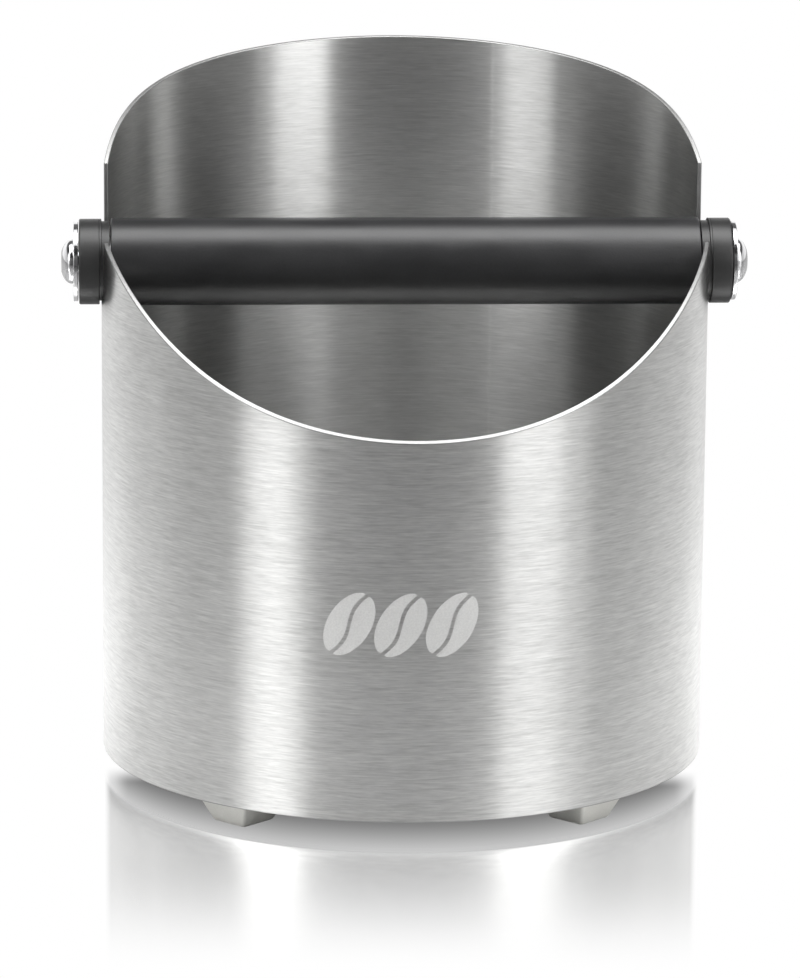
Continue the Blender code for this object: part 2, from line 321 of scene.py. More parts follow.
MATERIALS = {
    "outer": brushed_steel(
        "brushed_steel_outside",
        roughness=0.34,
        stretch=0.88,
        contrast=0.18,
        bump_strength=0.40,
        tone=OUTSIDE_TONE,
        seam=True,
    ),
    "inner": brushed_steel(
        "brushed_steel_inside",
        roughness=0.30,
        stretch=0.97,
        contrast=0.13,
        bump_strength=0.18,
        tone=INSIDE_PAINTED_LIGHT,
        seam=True,
    ),
    "base": brushed_steel(
        "brushed_steel_base",
        roughness=0.30,
        stretch=0.88,
        contrast=0.06,
        bump_strength=0.15,
    ),
    "rim": polished_rim(),
    "etch": etched_steel(),
    # the chrome's colour carries a painted shade where it is seen edge-on
    "chrome": bright_steel("bright_fastener_steel", (0.80, 0.80, 0.81), roughness=0.10, painted_edge_shade=0.45),
    "core": bright_steel("turned_rod_steel", (0.55, 0.55, 0.56), roughness=0.32),
    "rubber": moulded_rubber(
        "black_rubber",
        (0.021, 0.021, 0.022),
        roughness=0.36,
        grain_size=0.00045,
        bump_depth=0.00004,
        mottle=0.15,
    ),
    "moulding": moulded_rubber(
        "black_moulding",
        (0.022, 0.022, 0.022),
        roughness=0.40,
        grain_size=0.00035,
        bump_depth=0.00003,
        mottle=0.15,
    ),
    "foot": moulded_rubber(
        "grey_foot_rubber",
        (0.72, 0.715, 0.68),
        roughness=0.60,
        grain_size=0.0004,
        bump_depth=0.00003,
        mottle=0.04,
    ),
}

# ---------------------------------------------------------------- mesh helpers


def new_piece(name, points, faces, materials, slots=None):
    """A smooth-shaded mesh object; slots gives each face's place in materials."""
    mesh = bpy.data.meshes.new(name)
    mesh.from_pydata([tuple(p) for p in points], [], faces)
    for material in materials:
        mesh.materials.append(MATERIALS[material])
    mesh.polygons.foreach_set("use_smooth", [True] * len(faces))
    if slots:
        mesh.polygons.foreach_set("material_index", slots)
    mesh.update()
    piece = bpy.data.objects.new(name, mesh)
    bpy.context.scene.collection.objects.link(piece)
    return piece


def break_edges(piece, width, segments=EDGE_SEGMENTS, angle=SHARP_EDGE, material=-1):
    """Rounds edges sharper than angle and keeps the faces between them flat to the eye."""
    bevel = piece.modifiers.new("edges", "BEVEL")
    bevel.width = width
    bevel.segments = segments
    bevel.limit_method = "ANGLE"
    bevel.angle_limit = math.radians(angle)
    bevel.harden_normals = True
    bevel.material = material


def rounded(profile, steps=5):
    """A profile of (along, radius, rounding) corners with each corner turned into a short curve."""
    points = []
    for i, (along, radius, rounding) in enumerate(profile):
        corner = Vector((along, radius))
        if rounding == 0:
            points.append(corner)
            continue
        before = Vector(profile[i - 1][:2])
        after = Vector(profile[(i + 1) % len(profile)][:2])
        start = corner + (before - corner).normalized() * rounding
        end = corner + (after - corner).normalized() * rounding
        for j in range(steps + 1):
            t = j / steps
            points.append(start * (1 - t) ** 2 + corner * 2 * t * (1 - t) + end * t**2)
    return points


def turned(name, rings, material, closed=True):
    """A solid of revolution about the bar's axis.

    rings are (along, radius) pairs, where radius may be a function of the angle from straight up.
    A closed solid joins its last ring to its first; an open one has a flat cap on each end ring.
    """
    points, faces = [], []
    for along, radius in rings:
        for k in range(TURN_STEPS):
            angle = 2 * math.pi * k / TURN_STEPS
            reach = radius(angle) if callable(radius) else radius
            points.append((along, reach * math.sin(angle), BAR_HEIGHT + reach * math.cos(angle)))
    spans = len(rings) if closed else len(rings) - 1
    for i in range(spans):
        here, there = i * TURN_STEPS, (i + 1) % len(rings) * TURN_STEPS
        for k in range(TURN_STEPS):
            n = (k + 1) % TURN_STEPS
            faces.append((here + k, here + n, there + n, there + k))
    if not closed:
        for ring, order in ((0, 1), (len(rings) - 1, -1)):
            loop = [ring * TURN_STEPS + k for k in range(TURN_STEPS)]
            faces.append(tuple(loop[::order]))
    piece = new_piece(name, points, faces, [material])
    face_outwards(piece)
    piece.data.set_sharp_from_angle(angle=math.radians(TURNED_SHARP_EDGE))
    return piece


def face_outwards(piece):
    """Turns every face of a closed mesh to point out of it."""
    mesh = bmesh.new()
    mesh.from_mesh(piece.data)
    bmesh.ops.recalc_face_normals(mesh, faces=mesh.faces)
    mesh.to_mesh(piece.data)
    mesh.free()


# ---------------------------------------------------------------- vessel


def rim_height(y):
    """Height of the cut rim at a given distance front to back; the cut runs straight along X."""
    reach = WALL_RADIUS - SLOT_HALF_WIDTH
    if y < 0:
        u = (y + WALL_RADIUS) / reach
        return RIM_FRONT + (RIM_FRONT_LIP - RIM_FRONT) * (u + FRONT_BULGE * u * u * (1.0 - u))
    v = (WALL_RADIUS - y) / reach
    drop = BACK_LINEAR_SHARE * v + (1.0 - BACK_LINEAR_SHARE) * v**3
    return RIM_BACK - (RIM_BACK - RIM_BACK_LIP) * drop


def column(x, y, shoulder, top=None):
    """Points up the wall at (x, y): evenly to the shoulder, then on to the rim if there is one."""
    heights = [WALL_BOTTOM + (shoulder - WALL_BOTTOM) * j / LOWER_ROWS for j in range(LOWER_ROWS + 1)]
    if top is not None:
        heights += [shoulder + (top - shoulder) * j / UPPER_ROWS for j in range(1, UPPER_ROWS + 1)]
    return [(x, y, z) for z in heights]


def wall_columns(radius):
    """Columns once round one face of the wall, from the right slot over the back to the left and on."""
    edge = math.asin(SLOT_HALF_WIDTH / radius)
    columns = []
    for side, lip in ((1, RIM_BACK_LIP), (-1, RIM_FRONT_LIP)):
        share = (BAR_HEIGHT - WALL_BOTTOM) / (lip - WALL_BOTTOM)
        for i in range(RIM_STEPS + 1):
            angle = edge + (math.pi - 2 * edge) * i / RIM_STEPS
            x, y = side * radius * math.cos(angle), side * radius * math.sin(angle)
            top = rim_height(y)
            columns.append(column(x, y, WALL_BOTTOM + share * (top - WALL_BOTTOM), top))
        for i in range(1, SLOT_STEPS):
            turn = math.pi * i / SLOT_STEPS
            y = side * SLOT_HALF_WIDTH * math.cos(turn)
            x = -side * math.sqrt(radius**2 - y**2)
            columns.append(column(x, y, BAR_HEIGHT - SLOT_HALF_WIDTH * math.sin(turn)))
    return columns


def wall_face(columns, first, outwards):
    """Quads of one face of the wall, whose points start at index first, and each column's first index."""
    starts = [first]
    for points in columns:
        starts.append(starts[-1] + len(points))
    faces = []
    for c, points in enumerate(columns):
        n = (c + 1) % len(columns)
        for j in range(min(len(points), len(columns[n])) - 1):
            a, b = starts[c] + j, starts[n] + j
            faces.append((a, b, b + 1, a + 1) if outwards else (a, a + 1, b + 1, b))
    return faces, starts[:-1]


def rim_loop(columns, starts):
    """Indices along the top edge of one face of the wall, down and up the sides of each slot."""
    loop = []
    full = LOWER_ROWS + UPPER_ROWS + 1
    for c, points in enumerate(columns):
        top = starts[c] + len(points) - 1
        into_slot = len(points) == full and len(columns[(c + 1) % len(columns)]) < full
        out_of_slot = len(points) == full and len(columns[c - 1]) < full
        side = [top - j for j in range(UPPER_ROWS + 1)]
        if into_slot:
            loop += side
        elif out_of_slot:
            loop += side[::-1]
        else:
            loop.append(top)
    return loop


def strip(outer, inner, upwards):
    """Quads joining the edge of the wall's outer face to the edge of its inner one."""
    faces = []
    for i in range(len(outer)):
        n = (i + 1) % len(outer)
        quad = (outer[i], outer[n], inner[n], inner[i])
        faces.append(quad if upwards else quad[::-1])
    return faces


def build_vessel():
    """The wall, with its own material outside, inside and along its cut edges."""
    surfaces = ["outer", "inner", "rim"]
    outside, inside, cut = range(len(surfaces))
    outer = wall_columns(WALL_RADIUS)
    inner = wall_columns(WALL_RADIUS - WALL)
    outer_faces, outer_starts = wall_face(outer, 0, True)
    inner_first = sum(len(c) for c in outer)
    inner_faces, inner_starts = wall_face(inner, inner_first, False)
    rim = strip(rim_loop(outer, outer_starts), rim_loop(inner, inner_starts), True)
    foot = strip(outer_starts, inner_starts, False)
    points = [p for c in outer + inner for p in c]
    faces = outer_faces + inner_faces + rim + foot
    slots = [outside] * len(outer_faces) + [inside] * len(inner_faces) + [cut] * (len(rim) + len(foot))
    vessel = new_piece("vessel_wall", points, faces, surfaces, slots)
    break_edges(vessel, EDGE_BREAK, material=cut)
    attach(vessel, "vessel")
    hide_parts("vessel_shell")


def build_base():
    """The round floor of the vessel, with a broken edge."""
    radius = (BASE_HIGH.x - BASE_LOW.x) / 2
    points, faces = [], []
    steps = TURN_STEPS * 2
    reaches = [radius * i / BASE_RINGS for i in range(1, BASE_RINGS + 1)]
    layers = [(reach, BASE_LOW.z) for reach in reaches]
    layers += [(reach, BASE_HIGH.z) for reach in reaches[::-1]]
    for reach, z in layers:
        for k in range(steps):
            angle = 2 * math.pi * k / steps
            points.append((reach * math.cos(angle), reach * math.sin(angle), z))
    for i in range(len(layers) - 1):
        for k in range(steps):
            n = (k + 1) % steps
            faces.append((i * steps + k, i * steps + n, (i + 1) * steps + n, (i + 1) * steps + k))
    faces.append(tuple(range(steps)))
    faces.append(tuple((len(layers) - 1) * steps + k for k in range(steps))[::-1])
    base = new_piece("vessel_floor", points, faces, ["base"])
    face_outwards(base)
    break_edges(base, BASE_EDGE_BREAK)
    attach(base, "vessel")
    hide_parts("base_plate")


# ---------------------------------------------------------------- etched mark

MARK_SIDE = -0.0040
MARK_HEIGHT = 0.0515
MARK_PROUD = 0.00002
MARK_ROOT = -0.00010
BEAN_HALF_LENGTH = 0.0080
BEAN_HALF_WIDTH = 0.0048
BEAN_FOLD = 0.0009
BEAN_GAP = 0.00045
BEAN_TIP = 0.97
BEAN_TURN = 58.0
BEANS = (-0.0115, 0.0, 0.0115)
BEAN_STEPS = 40
BEAN_ROWS = 4
BEAN_SHARP_EDGE = 40.0


def on_wall(side, height, lift):
    """The point of the vessel's outside at that place round from the front, lifted off the wall."""
    angle = side / WALL_RADIUS
    reach = WALL_RADIUS + lift
    return (reach * math.sin(angle), -reach * math.cos(angle), height)


def half_bean(bean, half):
    """Rows of (side, height) places over one half of a coffee bean, from its fold to its edge."""
    turn = math.radians(BEAN_TURN)
    rows = []
    for i in range(BEAN_STEPS + 1):
        t = BEAN_TIP * math.sin(math.pi * (i / BEAN_STEPS - 0.5))
        edge = BEAN_HALF_WIDTH * math.sqrt(1.0 - t * t)
        fold = min(half * BEAN_FOLD * math.sin(math.pi * t) + BEAN_GAP, edge)
        row = []
        for j in range(BEAN_ROWS + 1):
            along, across = BEAN_HALF_LENGTH * t, half * (fold + (edge - fold) * j / BEAN_ROWS)
            side = bean + along * math.cos(turn) - across * math.sin(turn)
            height = along * math.sin(turn) + across * math.cos(turn)
            row.append((MARK_SIDE + side, MARK_HEIGHT + height))
        rows.append(row)
    return rows


def build_mark():
    """Three frosted coffee beans etched on the front, each in two halves about its fold."""
    points, faces = [], []
    wide = BEAN_ROWS + 1
    sheet = (BEAN_STEPS + 1) * wide
    for bean in BEANS:
        for half in (-1, 1):
            rows = half_bean(bean, half)
            first = len(points)
            for lift in (MARK_PROUD, MARK_ROOT):
                points += [on_wall(side, height, lift) for row in rows for side, height in row]
            for i in range(BEAN_STEPS):
                for j in range(BEAN_ROWS):
                    a = first + i * wide + j
                    quad = (a, a + 1, a + wide + 1, a + wide)
                    faces += [quad, tuple(k + sheet for k in quad[::-1])]
            border = [i * wide for i in range(BEAN_STEPS + 1)]
            border += [BEAN_STEPS * wide + j for j in range(1, wide)]
            border += [i * wide + BEAN_ROWS for i in range(BEAN_STEPS - 1, -1, -1)]
            border += [j for j in range(BEAN_ROWS - 1, 0, -1)]
            for k, here in enumerate(border):
                there = border[(k + 1) % len(border)]
                faces.append((first + here, first + there, first + there + sheet, first + here + sheet))
    mark = new_piece("etched_mark", points, faces, ["etch"])
    face_outwards(mark)
    mark.data.set_sharp_from_angle(angle=math.radians(BEAN_SHARP_EDGE))
    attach(mark, "vessel")


# ---------------------------------------------------------------- feet

FOOT_TOP_SIDE = 0.0150
FOOT_SOLE_SIDE = 0.0096
FOOT_ROW = 0.2
FOOT_ROUNDING = 0.0006
FOOT_SEGMENTS = 4
FOOT_SHARP_EDGE = 25.0


def build_foot(node):
    """A tapered square rubber foot, set corner-on."""
    low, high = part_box(node)
    centre = (low + high) / 2
    points = []
    for share in (1.0, FOOT_ROW, 0.0):
        z = low.z + share * (high.z - low.z)
        side = FOOT_SOLE_SIDE + share * (FOOT_TOP_SIDE - FOOT_SOLE_SIDE)
        for k in range(4):
            angle = math.pi / 2 * k
            reach = side / math.sqrt(2)
            points.append((centre.x + reach * math.cos(angle), centre.y + reach * math.sin(angle), z))
    faces = [(0, 1, 2, 3), (11, 10, 9, 8)]
    for row in (0, 4):
        faces += [(row + k, row + 4 + k, row + 4 + (k + 1) % 4, row + (k + 1) % 4) for k in range(4)]
    foot = new_piece(node + "_pad", points, faces, ["foot"])
    face_outwards(foot)
    break_edges(foot, FOOT_ROUNDING, FOOT_SEGMENTS, FOOT_SHARP_EDGE)
    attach(foot, "vessel")
    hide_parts(node)


# ---------------------------------------------------------------- knock bar

SLEEVE_BORE = 0.0053
SLEEVE_ROUNDING = 0.0004
SLEEVE_BORE_ROUNDING = 0.0002
COLLAR_RADIUS = 0.00985
COLLAR_INNER_ROUNDING = 0.00025
COLLAR_OUTER_ROUNDING = 0.00045
COLLAR_START = 0.0704
COLLAR_END = 0.0751
GROOVE_END = 0.0699
GROOVE_CROWN = 0.0093
GROOVE_STEP = 0.0001
NECK_RADIUS = 0.0090
BUSH_START = 0.0681
BUSH_BORE = 0.00507
WASHER_BORE = 0.0032
WASHER_ROUNDING = 0.0002
WASHER_BORE_ROUNDING = 0.0001
SHANK_RADIUS = 0.0029
SHANK_CHAMFER = 0.0005
HEAD_HEIGHT = 0.0027
HEAD_RIM = 0.00035
HEAD_EDGE_BREAK = 0.0001
HEAD_STEPS = 14
SOCKET_HALF_WIDTH = 0.0020
SOCKET_EDGE_BREAK = 0.00008
SOCKET_DEPTH = 0.0015
SOCKET_POINT_DEPTH = 0.0003
SOCKET_POINT_RADIUS = 0.0006
HEAD_FLAT_RADIUS = 0.0024


def build_sleeve():
    """The rubber tube, with rounded ends."""
    end = SLEEVE_HIGH.x
    profile = [
        (-end, SLEEVE_BORE, SLEEVE_BORE_ROUNDING),
        (-end, BAR_RADIUS, SLEEVE_ROUNDING),
        (end, BAR_RADIUS, SLEEVE_ROUNDING),
        (end, SLEEVE_BORE, SLEEVE_BORE_ROUNDING),
    ]
    sleeve = turned("knock_bar_sleeve", rounded(profile), "rubber")
    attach(sleeve, "knock_bar")
    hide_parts("bar_sleeve")


def crowned(crown):
    """Radius of a section that fits the slot at its sides and below, and stands up to crown above."""

    def radius(angle):
        if math.cos(angle) <= 0:
            return NECK_RADIUS
        flank = NECK_RADIUS / max(abs(math.sin(angle)), 1e-6)
        return min(crown, flank)

    return radius


def build_bush(side):
    """The moulded end piece: a collar outside the wall and a neck that sits in the slot."""
    name = "left" if side < 0 else "right"
    neck = crowned(COLLAR_RADIUS)
    groove = crowned(GROOVE_CROWN)
    rings = [(BUSH_START, BUSH_BORE), (BUSH_START, groove), (GROOVE_END, groove)]
    rings += [(GROOVE_END + GROOVE_STEP, neck), (COLLAR_START, neck)]
    corners = [
        (COLLAR_START, NECK_RADIUS, 0),
        (COLLAR_START, COLLAR_RADIUS, COLLAR_INNER_ROUNDING),
        (COLLAR_END, COLLAR_RADIUS, COLLAR_OUTER_ROUNDING),
        (COLLAR_END, BUSH_BORE, 0),
    ]
    rings += [tuple(p) for p in rounded(corners)[1:]]
    rings = [(side * along, radius) for along, radius in rings]
    bush = turned("bar_end_" + name, rings, "moulding")
    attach(bush, "bar_ends")
    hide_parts("end_bush_" + name)


def build_washer(side):
    """A flat washer with rounded edges."""
    name = "washer_left" if side < 0 else "washer_right"
    low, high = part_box(name)
    radius = (high.z - low.z) / 2
    profile = [
        (low.x, WASHER_BORE, WASHER_BORE_ROUNDING),
        (low.x, radius, WASHER_ROUNDING),
        (high.x, radius, WASHER_ROUNDING),
        (high.x, WASHER_BORE, WASHER_BORE_ROUNDING),
    ]
    washer = turned("end_" + name, rounded(profile), "chrome")
    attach(washer, "knock_bar")
    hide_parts(name)


def hexagon(half_width):
    """Radius of a hexagon with that half width across its flats."""
    sixth = math.pi / 3

    def radius(angle):
        return half_width / math.cos((angle % sixth) - sixth / 2)

    return radius


def build_screw(side):
    """A button-head screw with a hexagon socket."""
    name = "screw_left" if side < 0 else "screw_right"
    low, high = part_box(name)
    tip, crest = sorted((abs(low.x), abs(high.x)))
    radius = (high.z - low.z) / 2
    start = crest - HEAD_HEIGHT
    rings = [
        (tip, SHANK_RADIUS - SHANK_CHAMFER),
        (tip + SHANK_CHAMFER, SHANK_RADIUS),
        (start, SHANK_RADIUS),
        (start, radius - HEAD_EDGE_BREAK),
        (start + HEAD_EDGE_BREAK, radius),
        (start + HEAD_RIM, radius),
    ]
    last = math.acos(HEAD_FLAT_RADIUS / radius)
    for i in range(1, HEAD_STEPS + 1):
        t = last * i / HEAD_STEPS
        rise = (HEAD_HEIGHT - HEAD_RIM) * math.sin(t) / math.sin(last)
        rings.append((start + HEAD_RIM + rise, radius * math.cos(t)))
    floor = crest - SOCKET_DEPTH
    rings += [
        (crest, hexagon(SOCKET_HALF_WIDTH + SOCKET_EDGE_BREAK)),
        (crest - HEAD_EDGE_BREAK, hexagon(SOCKET_HALF_WIDTH)),
        (floor, hexagon(SOCKET_HALF_WIDTH)),
        (floor - SOCKET_POINT_DEPTH, SOCKET_POINT_RADIUS),
    ]
    rings = [(side * along, reach) for along, reach in rings]
    screw = turned("end_" + name, rings, "chrome", closed=False)
    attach(screw, "knock_bar")
    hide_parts(name)


# ---------------------------------------------------------------- studio

CAMERA_DISTANCE = 1.300
CAMERA_AZIMUTH = math.radians(-2.977)
CAMERA_ELEVATION = math.radians(12.993)
CAMERA_ROLL = math.radians(0.428)
CAMERA_AIM_SIDE = -0.00076
CAMERA_AIM_HEIGHT = 0.06636
SENSOR = 36.0  # in millimetres, as the lens is
LENS = 205.4
CLIP_START = 0.05
CLIP_END = 50.0
OVERHEAD_AIM = (0.0, -0.05, 0.12)
RIGHT_STRIP = (0.245, -0.240)  # where it stands
LEFT_STRIP = (-0.97, -0.73)
STRIPS = (  # name, foot, sideways, width, bottom, top, radiance
    ("right_strip_low", RIGHT_STRIP, -0.0155, 0.143, 0.0, 0.16, 0.88),
    ("right_strip_high", RIGHT_STRIP, -0.0110, 0.155, 0.16, 1.70, 3.1),
    ("right_strip_edge", RIGHT_STRIP, 0.0925, 0.045, 0.0, 1.00, 0.56),
    ("left_strip_low", LEFT_STRIP, -0.025, 0.43, 0.0, 0.40, 0.80),
    ("left_strip_high", LEFT_STRIP, -0.005, 0.49, 0.40, 4.40, 3.5),
)
# (direction from front to back, brightness)
ROOM_TONE = ((-1.0, 0.10), (-0.866, 0.20), (-0.5, 0.52), (0.0, 0.66), (0.5, 1.00), (0.86, 1.60))
CEILING_RANGE = (0.38, 0.56)  # upward direction
CEILING_TONE = 0.12


def build_camera():
    """A long lens from slightly left of and above the front."""
    a, e = CAMERA_AZIMUTH, CAMERA_ELEVATION
    back = Vector((math.sin(a) * math.cos(e), -math.cos(a) * math.cos(e), math.sin(e)))
    right = Vector((math.cos(a), math.sin(a), 0.0))
    up = back.cross(right)
    aim = right * CAMERA_AIM_SIDE + Vector((0.0, 0.0, CAMERA_AIM_HEIGHT))
    lens = bpy.data.cameras.new("camera")
    lens.sensor_width = SENSOR
    lens.lens = LENS
    lens.clip_start = CLIP_START
    lens.clip_end = CLIP_END
    camera = bpy.data.objects.new("camera", lens)
    bpy.context.scene.collection.objects.link(camera)
    axes = Matrix((right, up, back)).transposed().to_4x4()
    place = Matrix.Translation(aim + back * CAMERA_DISTANCE)
    camera.matrix_world = place @ axes @ Matrix.Rotation(CAMERA_ROLL, 4, "Z")
    bpy.context.scene.camera = camera


def soft_box(name, place, aim, width, height, radiance):
    """A rectangular light at place facing aim, with that brightness on its face."""
    data = bpy.data.lights.new(name, "AREA")
    data.shape = "RECTANGLE"
    data.size = width
    data.size_y = height
    data.energy = radiance * math.pi * width * height
    light = bpy.data.objects.new(name, data)
    light.location = place
    light.rotation_euler = (Vector(aim) - Vector(place)).to_track_quat("-Z", "Y").to_euler()
    light.visible_camera = False
    bpy.context.scene.collection.objects.link(light)


def overhead_light(name, height, width, depth, radiance):
    """A soft box above the vessel, facing down."""
    x, y, _ = OVERHEAD_AIM
    soft_box(name, (x, y, height), OVERHEAD_AIM, width, depth, radiance)


def strip_light(name, foot, sideways, width, bottom, top, radiance):
    """An upright strip that faces the vessel's axis from its foot, moved sideways."""
    inwards = Vector((*foot, 0.0)).normalized()
    aim = Vector((-inwards.y, inwards.x, 0.0)) * sideways + Vector((0.0, 0.0, (bottom + top) / 2))
    soft_box(name, aim + Vector((*foot, 0.0)), aim, width, top - bottom, radiance)


def build_lights():
    """Two soft boxes overhead, and strips on both sides that draw the bright bands down the steel."""
    overhead_light("overhead_box", height=0.95, width=1.00, depth=0.50, radiance=4.6)
    overhead_light("overhead_silk", height=0.97, width=1.20, depth=0.95, radiance=1.1)
    for strip_values in STRIPS:
        strip_light(*strip_values)


def tone_ramp(nodes, place, low, high, stops, interpolation="B_SPLINE"):
    """Brightness that runs smoothly through (place, brightness) stops lying between low and high."""
    ramp = nodes.add("ShaderNodeValToRGB")
    ramp.color_ramp.interpolation = interpolation
    elements = ramp.color_ramp.elements
    while len(elements) < len(stops):
        elements.new(0.5)
    for element, (position, grey) in zip(elements, stops):
        element.position = (position - low) / (high - low)
        element.color = (grey, grey, grey, 1.0)
    nodes.feed(ramp.inputs["Fac"], nodes.remap(place, low, high, 0.0, 1.0))
    return ramp.outputs["Color"]


def build_world():
    """White to the camera; in reflections a room that is dark in front and above, and white behind."""
    world = bpy.data.worlds.new("studio")
    bpy.context.scene.world = world
    world.use_nodes = True
    world.node_tree.nodes.clear()
    nodes = Nodes(world.node_tree)
    place = nodes.add("ShaderNodeTexCoord")
    axes = nodes.add("ShaderNodeSeparateXYZ", {"Vector": place.outputs["Generated"]})
    room = tone_ramp(nodes, axes.outputs["Y"], -1.0, 1.0, ROOM_TONE, "EASE")
    ceiling = nodes.remap(axes.outputs["Z"], *CEILING_RANGE, 1.0, CEILING_TONE, smooth=True)
    path = nodes.add("ShaderNodeLightPath")
    mix = nodes.add("ShaderNodeMix", data_type="RGBA")
    nodes.feed(mix.inputs["Factor"], path.outputs["Is Camera Ray"])
    nodes.feed(mix.inputs["A"], nodes.tint(room, ceiling))
    mix.inputs["B"].default_value = (1.0, 1.0, 1.0, 1.0)
    background = nodes.add("ShaderNodeBackground")
    nodes.feed(background.inputs["Color"], mix.outputs["Result"])
    output = nodes.add("ShaderNodeOutputWorld")
    nodes.feed(output.inputs["Surface"], background.outputs[0])


# ---------------------------------------------------------------- floor

FLOOR_SIZE = 12.0
FLOOR_GLOSS = 0.45
FLOOR_ROUGHNESS = 0.13
MIRROR_COLOUR = (0.98, 0.98, 0.975)
MIRROR_SHARE = 0.58
MIRROR_START = (0.001, 0.008)  # ahead of the wall
MIRROR_BLUR = (0.005, 0.040)  # ahead of the wall, from sharp to blurred
MIRROR_ROUGHNESS = 0.04
MIRROR_FADE_NEAR = (0.078, 0.158)  # from the middle towards the viewer
MIRROR_FADE_ROUND = (0.12, 0.24)  # from the middle, all round
MIRROR_EDGE = (WALL_RADIUS - 0.012, WALL_RADIUS)  # across the view
MIRROR_EDGE_TONE = 0.52
LEAN_START = 0.004
LEAN_SLOPE = 0.231
LEAN_HEIGHT = 0.0060
FRONT_GAZE = (-0.85, -0.30)  # Y of the direction to the viewer
LOW_GAZE = (0.28, 0.45)  # Z of it
SHADE_SIDE = (WALL_RADIUS - 0.006, WALL_RADIUS - 0.0005)  # across the view
SHADE_EDGE = (WALL_RADIUS - 0.0018, WALL_RADIUS)  # across the view
SHADE_RISE = (0.0, 0.016)  # from the middle towards the viewer
STOP_MARGIN = 0.01
UNDER_SHADE = (  # painted shade (place ahead of the wall, brightness) under the middle of the vessel, ending in a painted grey like the reflection before it
    (-0.027, 0.17),
    (-0.020, 0.21),
    (-0.014, 0.30),
    (-0.008, 0.40),
    (-0.002, 0.52),
    (0.003, 0.60),
    (0.006, 0.61),
)
SIDE_SHADE = (  # the same, under its sides
    (-0.027, 1.00),
    (-0.022, 0.60),
    (-0.015, 0.62),
    (-0.007, 0.72),
    (0.000, 0.76),
    (0.006, 0.77),
)
HALO_SHADE = (  # (distance from the middle, brightness)
    (0.044, 0.10),
    (0.052, 0.22),
    (0.060, 0.27),
    (0.068, 0.43),
    (0.077, 0.57),
    (0.087, 0.63),
    (0.097, 1.00),
)


def glow(nodes, colour):
    """A surface that shows that colour whatever the light."""
    return nodes.add("ShaderNodeEmission", {"Color": colour}).outputs[0]


def shade(nodes, place, stops):
    """A glow with the brightness that the stops give at that place."""
    low, high = stops[0][0] - STOP_MARGIN, stops[-1][0] + STOP_MARGIN
    return glow(nodes, tone_ramp(nodes, place, low, high, stops))


def mixed(nodes, share, first, second):
    """The first shader, giving way to the second as share rises to 1."""
    return nodes.add("ShaderNodeMixShader", {0: share, 1: first, 2: second}).outputs[0]


class View:
    """Where a floor point lies as its viewer sees it: across the view, and ahead of the vessel's wall."""

    def __init__(self, nodes, place):
        self.incoming = nodes.add("ShaderNodeNewGeometry").outputs["Incoming"]
        level = (1.0, 1.0, 0.0)
        flat = nodes.add("ShaderNodeVectorMath", {0: self.incoming, 1: level}, operation="MULTIPLY")
        towards = nodes.add("ShaderNodeVectorMath", {0: flat.outputs[0]}, operation="NORMALIZE")
        self.towards = towards.outputs[0]
        near = nodes.add("ShaderNodeVectorMath", {0: place, 1: self.towards}, operation="DOT_PRODUCT")
        self.near = near.outputs["Value"]
        self.distance = nodes.add("ShaderNodeVectorMath", {0: place}, operation="LENGTH").outputs["Value"]
        distance_squared = nodes.math("POWER", self.distance, 2.0)
        across_squared = nodes.math("SUBTRACT", distance_squared, nodes.math("POWER", self.near, 2.0))
        self.across = nodes.math("SQRT", nodes.math("MAXIMUM", across_squared, 0.0))
        chord = nodes.math("MAXIMUM", nodes.math("SUBTRACT", WALL_RADIUS**2, across_squared), 0.0)
        self.ahead = nodes.math("SUBTRACT", self.near, nodes.math("SQRT", chord))

    def from_front(self, nodes):
        """1 for a viewer low in front of the vessel, 0 from its other sides and from above."""
        gaze = nodes.add("ShaderNodeSeparateXYZ", {"Vector": self.incoming})
        front = nodes.remap(gaze.outputs["Y"], *FRONT_GAZE, 1.0, 0.0, smooth=True)
        low = nodes.remap(gaze.outputs["Z"], *LOW_GAZE, 1.0, 0.0, smooth=True)
        return nodes.math("MULTIPLY", front, low)


def mirror_share(nodes, view):
    """How much of the floor is mirror: it fades towards the viewer and away from the vessel."""
    near = nodes.remap(view.near, *MIRROR_FADE_NEAR, MIRROR_SHARE, 0.0, smooth=True)
    around = nodes.remap(view.distance, *MIRROR_FADE_ROUND, 1.0, 0.0, smooth=True)
    return nodes.math("MULTIPLY", near, around)


def mirror_normal(nodes, view):
    """Leans the mirror so that the wall's picture starts close to the wall, for all the gap under it."""
    reach = nodes.math("MAXIMUM", view.ahead, LEAN_START)
    rise = nodes.math("MULTIPLY_ADD", reach, LEAN_SLOPE, LEAN_HEIGHT)
    back = nodes.add("ShaderNodeVectorMath", {0: view.towards}, operation="SCALE")
    nodes.feed(back.inputs["Scale"], nodes.math("MULTIPLY", reach, -1.0))
    upwards = nodes.add("ShaderNodeCombineXYZ", {"Z": rise}).outputs[0]
    target = nodes.add("ShaderNodeVectorMath", {0: back.outputs[0], 1: upwards}, operation="ADD")
    mirrored = nodes.add("ShaderNodeVectorMath", {0: target.outputs[0]}, operation="NORMALIZE").outputs[0]
    halfway = nodes.add("ShaderNodeVectorMath", {0: mirrored, 1: view.incoming}, operation="ADD")
    return nodes.add("ShaderNodeVectorMath", {0: halfway.outputs[0]}, operation="NORMALIZE").outputs[0]


def polished_floor(nodes, view, white):
    """The mirror before the vessel, duller towards its sides and blurred further out."""
    colour = nodes.tint(MIRROR_COLOUR, nodes.remap(view.across, *MIRROR_EDGE, 1.0, MIRROR_EDGE_TONE))
    blur = nodes.remap(view.ahead, *MIRROR_BLUR, MIRROR_ROUGHNESS, FLOOR_ROUGHNESS)
    normal = mirror_normal(nodes, view)
    mirror = nodes.add("ShaderNodeBsdfGlossy", {"Color": colour, "Normal": normal, "Roughness": blur})
    return mixed(nodes, mirror_share(nodes, view), white, mirror.outputs[0])


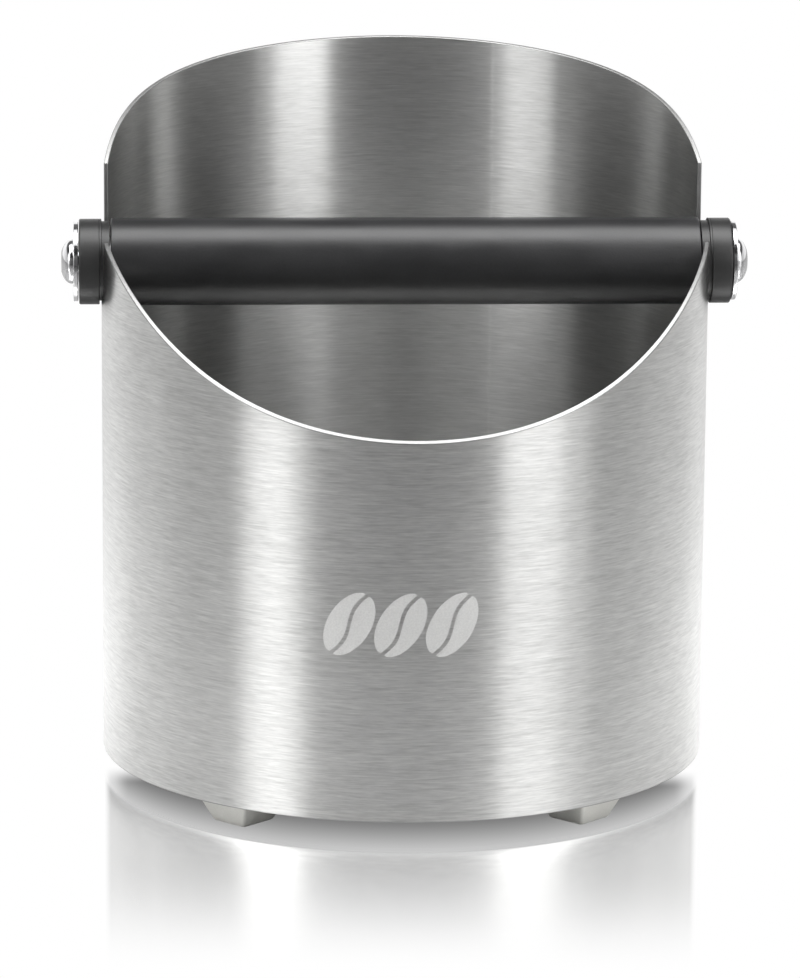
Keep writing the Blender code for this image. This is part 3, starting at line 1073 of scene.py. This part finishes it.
def floor_seen(nodes, place):
    """What the camera sees of the floor: white, shaded under the vessel, and a mirror before it."""
    view = View(nodes, place)
    white = glow(nodes, (1.0, 1.0, 1.0, 1.0))
    side = nodes.remap(view.across, *SHADE_SIDE, 0.0, 1.0, smooth=True)
    under_middle = shade(nodes, view.ahead, UNDER_SHADE)
    under = mixed(nodes, side, under_middle, shade(nodes, view.ahead, SIDE_SHADE))
    clear_of_wall = nodes.remap(view.ahead, *MIRROR_START, 0.0, 1.0, smooth=True)
    before = mixed(nodes, clear_of_wall, under, polished_floor(nodes, view, white))
    across = nodes.remap(view.across, *SHADE_EDGE, 1.0, 0.0, smooth=True)
    near = nodes.remap(view.near, *SHADE_RISE, 0.0, 1.0, smooth=True)
    inside = nodes.math("MULTIPLY", across, near)
    from_front = mixed(nodes, inside, white, before)
    return mixed(nodes, view.from_front(nodes), shade(nodes, view.distance, HALO_SHADE), from_front)


def floor_material():
    """White acrylic; the object's own reflections see it with painted light and shade: brightest close
    round the vessel, darker far off, and kept down in front.
    """
    material = bpy.data.materials.new("white_acrylic")
    material.use_nodes = True
    material.node_tree.nodes.clear()
    nodes = Nodes(material.node_tree)
    place = nodes.add("ShaderNodeTexCoord").outputs["Object"]
    distance = nodes.add("ShaderNodeVectorMath", {0: place}, operation="LENGTH").outputs["Value"]
    depth = nodes.add("ShaderNodeSeparateXYZ", {"Vector": place}).outputs["Y"]
    # painted light and shade in the floor's colour, which only the object's reflections see: darker in
    # front, brightest close round the vessel and darker far off
    painted_shade_in_front = nodes.remap(depth, -0.10, 0.10, 0.42, 0.66, smooth=True)
    painted_light_near_vessel = nodes.remap(distance, 0.10, 0.45, 1.45, 0.40, smooth=True)
    tone = nodes.math("MULTIPLY", painted_shade_in_front, painted_light_near_vessel)
    grey = nodes.add("ShaderNodeCombineXYZ", {"X": tone, "Y": tone, "Z": tone})
    dull = nodes.add("ShaderNodeBsdfDiffuse", {"Color": grey.outputs[0]})
    colour = (*MIRROR_COLOUR, 1.0)
    gloss = nodes.add("ShaderNodeBsdfGlossy", {"Color": colour, "Roughness": FLOOR_ROUGHNESS})
    sheen = mixed(nodes, FLOOR_GLOSS, dull.outputs[0], gloss.outputs[0])
    path = nodes.add("ShaderNodeLightPath").outputs["Is Camera Ray"]
    output = nodes.add("ShaderNodeOutputMaterial")
    nodes.feed(output.inputs["Surface"], mixed(nodes, path, sheen, floor_seen(nodes, place)))
    return material


def build_floor():
    """The white floor, wide enough to reach past the picture from every side."""
    half = FLOOR_SIZE / 2
    corners = [(-half, -half, 0), (half, -half, 0), (half, half, 0), (-half, half, 0)]
    mesh = bpy.data.meshes.new("floor")
    mesh.from_pydata(corners, [], [(0, 1, 2, 3)])
    mesh.materials.append(floor_material())
    floor = bpy.data.objects.new("floor", mesh)
    bpy.context.scene.collection.objects.link(floor)


# ---------------------------------------------------------------- assembly

build_vessel()
build_base()
build_mark()
for foot_node in ("foot_front_left", "foot_front_right", "foot_back_left", "foot_back_right"):
    build_foot(foot_node)
build_sleeve()
for bar_side in (-1, 1):
    build_bush(bar_side)
    build_washer(bar_side)
    build_screw(bar_side)
core_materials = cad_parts["bar_core"].data.materials
core_materials.clear()
core_materials.append(MATERIALS["core"])

build_floor()
build_lights()
build_world()
build_camera()
bpy.context.scene.view_settings.view_transform = "Standard"
